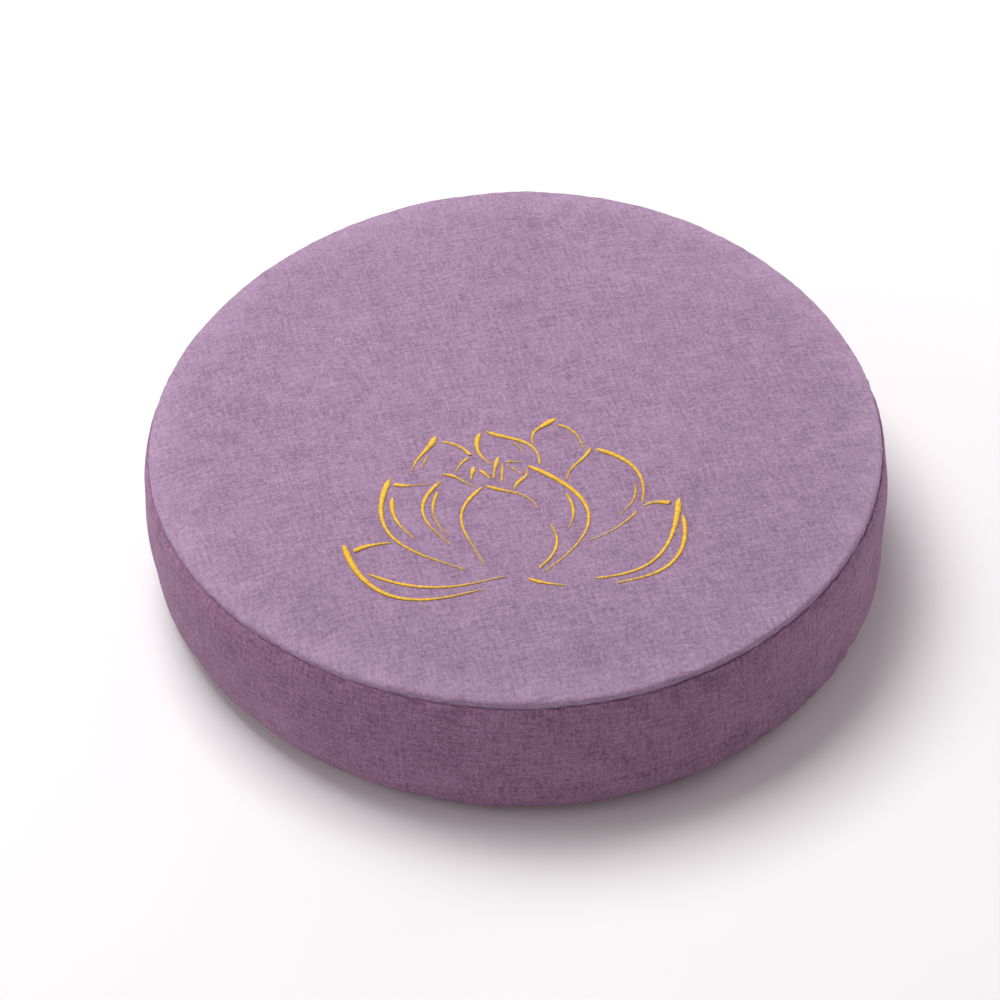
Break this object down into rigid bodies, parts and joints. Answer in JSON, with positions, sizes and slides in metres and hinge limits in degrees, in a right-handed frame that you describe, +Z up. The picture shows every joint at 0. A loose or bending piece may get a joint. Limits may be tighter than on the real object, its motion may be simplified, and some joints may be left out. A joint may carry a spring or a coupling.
{
  "type": "round boxed zafu meditation cushion",
  "caption": "Low round floor cushion with a side band between two seams, a softly crowned top and a lotus outline worked in raised gold thread.",
  "frame": {"origin": "on the resting face, under the middle of the outline's bounding box", "axes": "+Z up out of the top panel, +Y towards the top of the lotus, +X to the right of someone who sees the lotus upright"},
  "size_m": [0.404, 0.4119, 0.0958],
  "materials": {
    "cover_cloth": "matt slubbed plain weave of mixed mauve and lilac yarns, linen look",
    "gold_thread": "satin stitched embroidery thread with a soft silky sheen"
  },
  "bodies": {
    "root": {"cushion": "cover_cloth", "front_petal_left": "gold_thread", "front_petal_top": "gold_thread", "front_petal_right": "gold_thread", "left_mid_petal_side": "gold_thread", "left_mid_petal_fold": "gold_thread", "left_mid_petal_top": "gold_thread", "right_mid_petal_side": "gold_thread", "right_mid_petal_fold": "gold_thread", "left_outer_petal_side": "gold_thread", "left_outer_petal_lip": "gold_thread", "left_outer_petal_fold": "gold_thread", "right_outer_petal_left": "gold_thread", "right_outer_petal_side": "gold_thread", "right_outer_petal_fold": "gold_thread", "right_outer_petal_foot": "gold_thread", "left_low_petal_lip": "gold_thread", "left_low_petal_side": "gold_thread", "left_low_petal_fold": "gold_thread", "right_low_petal_lip": "gold_thread", "right_low_petal_fold": "gold_thread", "right_low_petal_side": "gold_thread", "base_line": "gold_thread", "left_back_petal_side": "gold_thread", "left_back_petal_fold": "gold_thread", "left_back_petal_right": "gold_thread", "left_back_petal_foot": "gold_thread", "mid_back_petal_left": "gold_thread", "mid_back_petal_right": "gold_thread", "mid_back_petal_fold": "gold_thread", "right_back_petal_left": "gold_thread", "right_back_petal_right": "gold_thread", "stamen_1": "gold_thread", "stamen_2": "gold_thread", "stamen_3": "gold_thread", "stamen_4": "gold_thread", "stamen_5": "gold_thread", "stamen_6": "gold_thread", "stamen_7": "gold_thread"}
  },
  "joints": []
}
